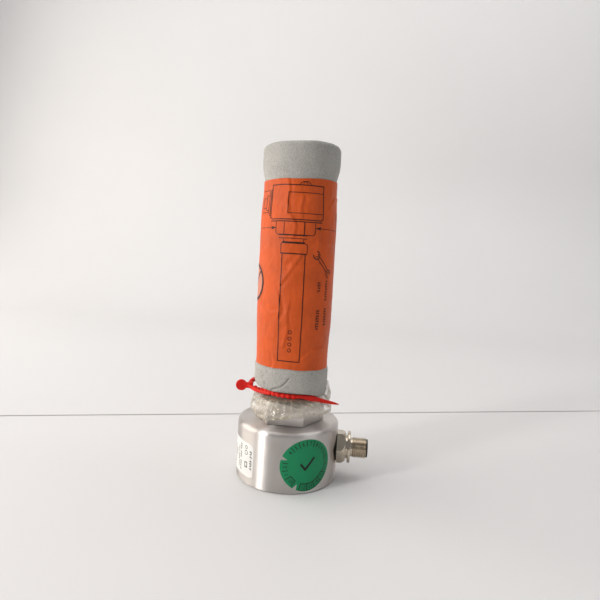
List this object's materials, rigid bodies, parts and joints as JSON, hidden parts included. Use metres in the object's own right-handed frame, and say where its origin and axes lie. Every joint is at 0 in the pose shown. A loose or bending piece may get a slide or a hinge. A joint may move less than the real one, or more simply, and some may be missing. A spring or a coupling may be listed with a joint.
{
  "type": "fluid sensor with transport protection",
  "caption": "Stainless screw-in fluid sensor with a side plug connector, standing on its head, its probe in a tied film bag and a labelled foam sleeve.",
  "frame": {"origin": "centre of the head's flat end, which the sensor stands on", "axes": "+Z along the probe, up; +X along the plug connector, out of the head"},
  "size_m": [0.0807, 0.0601, 0.1915],
  "materials": {
    "stainless": "satin",
    "zinc_steel": "satin",
    "seal_rubber": "matte",
    "nickel_brass": "satin",
    "contact_plastic": "matte",
    "gold_contacts": "gloss",
    "wire_insulation": "satin",
    "board_laminate": "satin",
    "chip_black": "matte",
    "capacitor_can": "satin",
    "potting_resin": "gloss",
    "white_insulator": "matte",
    "label_white": "satin",
    "sticker_green": "satin",
    "clear_film": "gloss",
    "tie_red": "satin",
    "foam_grey": "matte",
    "label_orange": "satin"
  },
  "bodies": {
    "sensor": {"head_housing": "stainless", "end_cover": "stainless", "cover_seal": "seal_rubber", "process_connection": "stainless", "thread_seal_ring": "seal_rubber", "spigot_nut": "stainless", "feedthrough_potting": "potting_resin", "base_insulator": "white_insulator", "temperature_element": "stainless", "probe_tube": "stainless", "inner_electrode": "stainless", "tip_spacer": "white_insulator", "electrode_lead": "gold_contacts", "adapter_gasket": "seal_rubber", "connector_adapter": "nickel_brass", "connector_nut": "nickel_brass", "connector_shell": "nickel_brass", "contact_carrier": "contact_plastic", "contact_pins": "gold_contacts", "connector_wires": "wire_insulation", "main_board": "board_laminate", "front_end_board": "board_laminate", "board_spacers": "nickel_brass", "board_screws": "zinc_steel", "board_nuts": "zinc_steel", "board_chips": "chip_black", "board_capacitors": "capacitor_can", "board_header": "chip_black", "insulating_sleeve": "white_insulator", "board_clamp_ring": "white_insulator", "rating_label": "label_white", "test_sticker": "sticker_green"},
    "bag": {"probe_bag": "clear_film", "bag_skirt": "clear_film", "sealing_tie": "tie_red"},
    "sleeve": {"foam_sleeve": "foam_grey", "sleeve_label": "label_orange"}
  },
  "joints": [
    {"name": "bag_slide", "type": "slide", "parent": "sensor", "child": "bag", "axis": [0, 0, 1], "range_m": [0, 0.15]},
    {"name": "sleeve_slide", "type": "slide", "parent": "bag", "child": "sleeve", "axis": [0, 0, 1], "range_m": [0, 0.14]}
  ]
}
